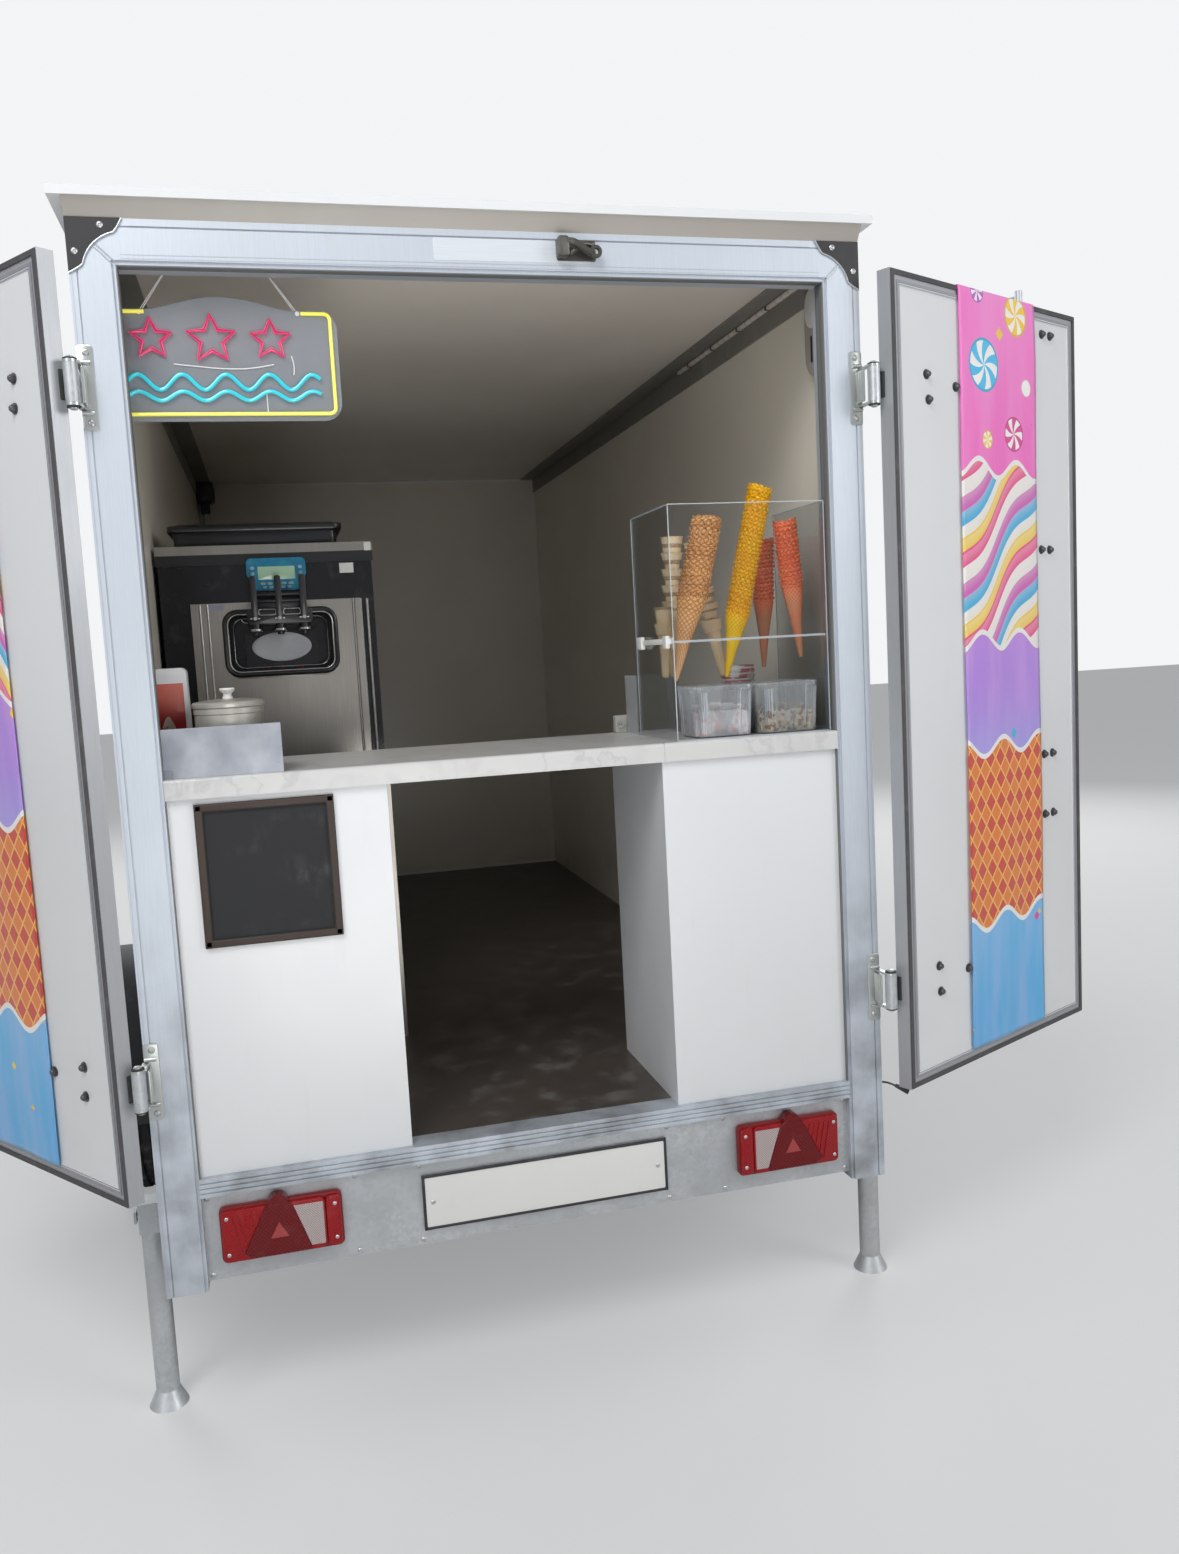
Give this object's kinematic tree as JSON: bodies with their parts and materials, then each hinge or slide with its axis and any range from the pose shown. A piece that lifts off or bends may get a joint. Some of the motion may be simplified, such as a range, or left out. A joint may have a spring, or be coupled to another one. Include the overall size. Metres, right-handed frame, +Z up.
{
  "type": "ice cream trailer",
  "caption": "Single-axle ice cream trailer: white box body, two rear doors folded open round a serving counter, cone display and soft-serve machine, V drawbar with jockey wheel.",
  "frame": {"origin": "centre of the coupling's ball socket, on the trailer's centreline at the front of the drawbar", "axes": "+Y along the drawbar towards the towing vehicle, +Z up, +X to the right seen from behind"},
  "size_m": [2.7895, 4.436, 2.398],
  "materials": {
    "acrylic": "clear acrylic",
    "alu": "satin anodised profile",
    "banner_cloth": "printed satin fabric",
    "black_enamel": "black machine housing",
    "black_plastic": "textured black plastic",
    "cabinet_white": "white laminate board",
    "cast": "zinc-flake coated casting",
    "clear_tub": "clear ribbed tub",
    "floor_ply": "dark film-faced plywood",
    "galv": "hot-dip galvanised steel",
    "lamp_amber": "amber lens",
    "lamp_red": "red lens",
    "neon": "glowing tube",
    "plate_white": "blank plate",
    "rubber": "matt rubber",
    "slate": "matt blackboard with wood rim",
    "stainless": "brushed stainless steel",
    "stone_laminate": "white marble-look laminate",
    "tyre": "tyre rubber",
    "waffle": "baked wafer",
    "wheel_silver": "silver painted steel rim",
    "white_panel": "smooth white coated panel"
  },
  "bodies": {
    "trailer": {"axle": "galv", "bumper_panel": "galv", "cabinet_left": "cabinet_white", "cabinet_right": "cabinet_white", "ceiling_profiles": "rubber", "chalkboard": "slate", "cone_display": "acrylic", "cones": "waffle", "corner_caps": "black_plastic", "coupling_head": "cast", "cross_members": "galv", "drawbar": "galv", "edge_profiles": "alu", "floor_panel": "floor_ply", "hinge_brackets": "galv", "ice_cream_machine": "black_enamel", "jack_sleeve": "galv", "light_sign": "neon", "lock_keeper": "galv", "machine_front": "stainless", "machine_levers": "black_plastic", "machine_table": "stainless", "marker_lamps": "lamp_amber", "mudguard_left": "black_plastic", "mudguard_right": "black_plastic", "number_plate": "plate_white", "overrun_bellows": "rubber", "overrun_unit": "cast", "rear_frame": "alu", "roof": "white_panel", "roof_fascia": "alu", "steel_guard": "stainless", "tail_lamps": "lamp_red", "topping_pot": "stainless", "topping_tubs": "clear_tub", "wall_front": "white_panel", "wall_left": "white_panel", "wall_right": "white_panel", "worktop": "stone_laminate"},
    "door_left": {"door_panel_left": "white_panel", "door_rim_left": "alu", "door_seal_left": "rubber", "door_straps_left": "galv", "banner_left": "banner_cloth"},
    "door_right": {"door_panel_right": "white_panel", "door_rim_right": "alu", "door_seal_right": "rubber", "door_straps_right": "galv", "banner_right": "banner_cloth", "lock_rod": "galv"},
    "wheel_left": {"tyre_left": "tyre", "rim_left": "wheel_silver"},
    "wheel_right": {"tyre_right": "tyre", "rim_right": "wheel_silver"},
    "leg_left": {"prop_leg_left": "galv"},
    "leg_right": {"prop_leg_right": "galv"},
    "jack_inner": {"jack_ram": "galv"},
    "jack_caster": {"jack_fork": "galv"},
    "jack_wheel": {"jockey_wheel": "rubber"},
    "hopper_lid": {"hopper_cover": "black_enamel"}
  },
  "joints": [
    {"name": "door_left_hinge", "type": "hinge", "parent": "trailer", "child": "door_left", "pos_m": [-0.787, -4.382, 0.97], "axis": [0, 0, -1], "range_deg": [-233, 29]},
    {"name": "door_right_hinge", "type": "hinge", "parent": "trailer", "child": "door_right", "pos_m": [0.787, -4.382, 0.97], "axis": [0, 0, 1], "range_deg": [-206.1, 55.9]},
    {"name": "wheel_left_spin", "type": "hinge", "parent": "trailer", "child": "wheel_left", "pos_m": [-0.9565, -2.98, -0.112], "axis": [1, 0, 0], "continuous": true},
    {"name": "wheel_right_spin", "type": "hinge", "parent": "trailer", "child": "wheel_right", "pos_m": [0.9565, -2.98, -0.112], "axis": [1, 0, 0], "continuous": true},
    {"name": "leg_left_fold", "type": "hinge", "parent": "trailer", "child": "leg_left", "pos_m": [-0.812, -4.19, -0.015], "axis": [1, 0, 0], "range_deg": [0, 90]},
    {"name": "leg_right_fold", "type": "hinge", "parent": "trailer", "child": "leg_right", "pos_m": [0.812, -4.19, -0.015], "axis": [1, 0, 0], "range_deg": [0, 90]},
    {"name": "jack_slide", "type": "slide", "parent": "trailer", "child": "jack_inner", "axis": [0, 0, 1], "range_m": [0, 0.12]},
    {"name": "jack_swivel", "type": "hinge", "parent": "jack_inner", "child": "jack_caster", "pos_m": [0.168, -0.46, -0.205], "axis": [0, 0, 1], "continuous": true},
    {"name": "jockey_spin", "type": "hinge", "parent": "jack_caster", "child": "jack_wheel", "pos_m": [0.168, -0.51, -0.33], "axis": [1, 0, 0], "continuous": true},
    {"name": "hopper_lid_lift", "type": "slide", "parent": "trailer", "child": "hopper_lid", "axis": [0, 0, 1], "range_m": [0, 0.15]}
  ]
}
